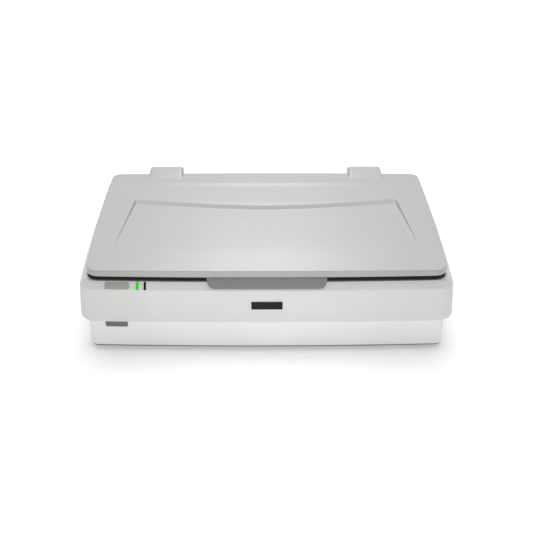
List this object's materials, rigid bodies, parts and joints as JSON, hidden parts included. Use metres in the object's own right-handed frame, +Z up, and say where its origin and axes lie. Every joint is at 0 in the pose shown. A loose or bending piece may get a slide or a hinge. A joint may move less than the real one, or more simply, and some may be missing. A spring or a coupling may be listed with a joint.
{
  "type": "flatbed scanner",
  "caption": "Large flatbed scanner: a shallow two-part case with a glass bed, a lift-and-tilt lid on rear hinge posts and a belt-driven carriage inside.",
  "frame": {"origin": "on the desk, under the middle of the footprint", "axes": "+X to the user's right and the longest side, +Y to the rear, +Z up and the shortest side; the user faces +Y"},
  "size_m": [0.656, 0.458, 0.158],
  "materials": {
    "case_plastic": "fine moulded texture, pale warm grey",
    "base_plastic": "fine moulded texture, pale grey",
    "lid_plastic": "satin moulded texture, light grey",
    "liner_plastic": "near-black moulded texture",
    "handle_plastic": "satin mid grey",
    "light_button": "satin warm grey",
    "dark_button": "satin dark grey",
    "green_lens": "translucent green, lit",
    "dark_lens": "translucent dark red-brown, unlit",
    "badge_plastic": "gloss black, blank",
    "glass": "polished clear float glass",
    "ruler_plastic": "satin grey strip",
    "white_foam": "matte white sheet over foam",
    "lamp_glass": "frosted white light bar",
    "mirror": "front-silvered glass",
    "black_plastic": "matte black",
    "rubber": "matte",
    "steel": "plain zinc-plated or ground steel",
    "painted_steel": "satin dark grey",
    "aluminium": "plain",
    "bronze": "sintered or turned",
    "green_board": "solder-resist green",
    "white_ribbon": "flat flexible cable"
  },
  "bodies": {
    "case": {"lower_case": "base_plastic", "foot_front_left": "rubber", "foot_front_right": "rubber", "foot_rear_left": "rubber", "foot_rear_right": "rubber", "case_screw_front_left": "steel", "case_screw_front_right": "steel", "case_screw_rear_left": "steel", "case_screw_rear_right": "steel", "upper_case": "case_plastic", "platen_glass": "glass", "ruler_frame": "ruler_plastic", "badge_plate": "badge_plastic", "ready_light": "green_lens", "error_light": "dark_lens", "mains_inlet": "black_plastic", "usb_socket": "black_plastic", "option_socket": "black_plastic", "hinge_socket_left": "black_plastic", "hinge_socket_right": "black_plastic", "guide_rod": "steel", "guide_rail": "steel", "rod_clamp_left": "black_plastic", "rod_clamp_right": "black_plastic", "drive_belt": "rubber", "reduction_belt": "rubber", "idler_bracket": "steel", "tension_spring": "steel", "motor_bracket": "steel", "stepper_motor": "painted_steel", "power_supply": "aluminium", "main_board": "green_board", "control_board": "green_board", "carriage_cable": "white_ribbon"},
    "hinge_posts": {"hinge_post_left": "case_plastic", "hinge_post_right": "case_plastic", "hinge_pin_left": "steel", "hinge_pin_right": "steel"},
    "lid": {"lid_shell": "lid_plastic", "lid_liner": "liner_plastic", "document_mat": "white_foam", "lid_handle": "handle_plastic", "hinge_leaf_left": "steel", "hinge_leaf_right": "steel", "hinge_cover_left": "lid_plastic", "hinge_cover_right": "lid_plastic"},
    "carriage": {"carriage_housing": "black_plastic", "rod_bush_left": "bronze", "rod_bush_right": "bronze", "lamp_bar": "lamp_glass", "fold_mirror": "mirror", "lens_block": "black_plastic", "sensor_board": "green_board", "belt_clamp": "black_plastic"},
    "start_button": {"start_button": "light_button"},
    "power_button": {"power_button": "dark_button"},
    "transport_lock": {"transport_lock": "dark_button"},
    "drive_pulley": {"drive_pulley": "aluminium"},
    "idler_pulley": {"idler_pulley": "aluminium"},
    "motor_pulley": {"motor_pulley": "bronze"}
  },
  "joints": [
    {"name": "lid_lift", "type": "slide", "parent": "case", "child": "hinge_posts", "axis": [0, 0, 1], "range_m": [0, 0.03]},
    {"name": "lid_tilt", "type": "hinge", "parent": "hinge_posts", "child": "lid", "pos_m": [0, 0.2175, 0.143], "axis": [-1, 0, 0], "range_deg": [0, 75]},
    {"name": "carriage_travel", "type": "slide", "parent": "case", "child": "carriage", "axis": [1, 0, 0], "range_m": [0, 0.458], "deforming": ["carriage_cable"]},
    {"name": "start_button_press", "type": "slide", "parent": "case", "child": "start_button", "axis": [0.0296, 0.8512, -0.5241], "range_m": [0, 0.0012], "stiffness_N_per_m": 400},
    {"name": "power_button_press", "type": "slide", "parent": "case", "child": "power_button", "axis": [0.0347, 0.9994, 0], "range_m": [0, 0.0012], "stiffness_N_per_m": 400},
    {"name": "transport_lock_slide", "type": "slide", "parent": "case", "child": "transport_lock", "axis": [1, 0, 0], "range_m": [0, 0.012]},
    {"name": "drive_pulley_spin", "type": "hinge", "parent": "case", "child": "drive_pulley", "pos_m": [-0.292, 0.1922, 0.072], "axis": [0, 1, 0], "continuous": true},
    {"name": "idler_pulley_spin", "type": "hinge", "parent": "case", "child": "idler_pulley", "pos_m": [0.296, 0.1922, 0.072], "axis": [0, 1, 0], "continuous": true},
    {"name": "motor_pulley_spin", "type": "hinge", "parent": "case", "child": "motor_pulley", "pos_m": [-0.262, 0.2023, 0.04], "axis": [0, 1, 0], "continuous": true}
  ],
  "couplings": [
    {"joint": "drive_pulley_spin", "follows": "carriage_travel", "rad_per_m": 111.11},
    {"joint": "idler_pulley_spin", "follows": "carriage_travel", "rad_per_m": 111.11},
    {"joint": "motor_pulley_spin", "follows": "carriage_travel", "rad_per_m": 336.55}
  ]
}
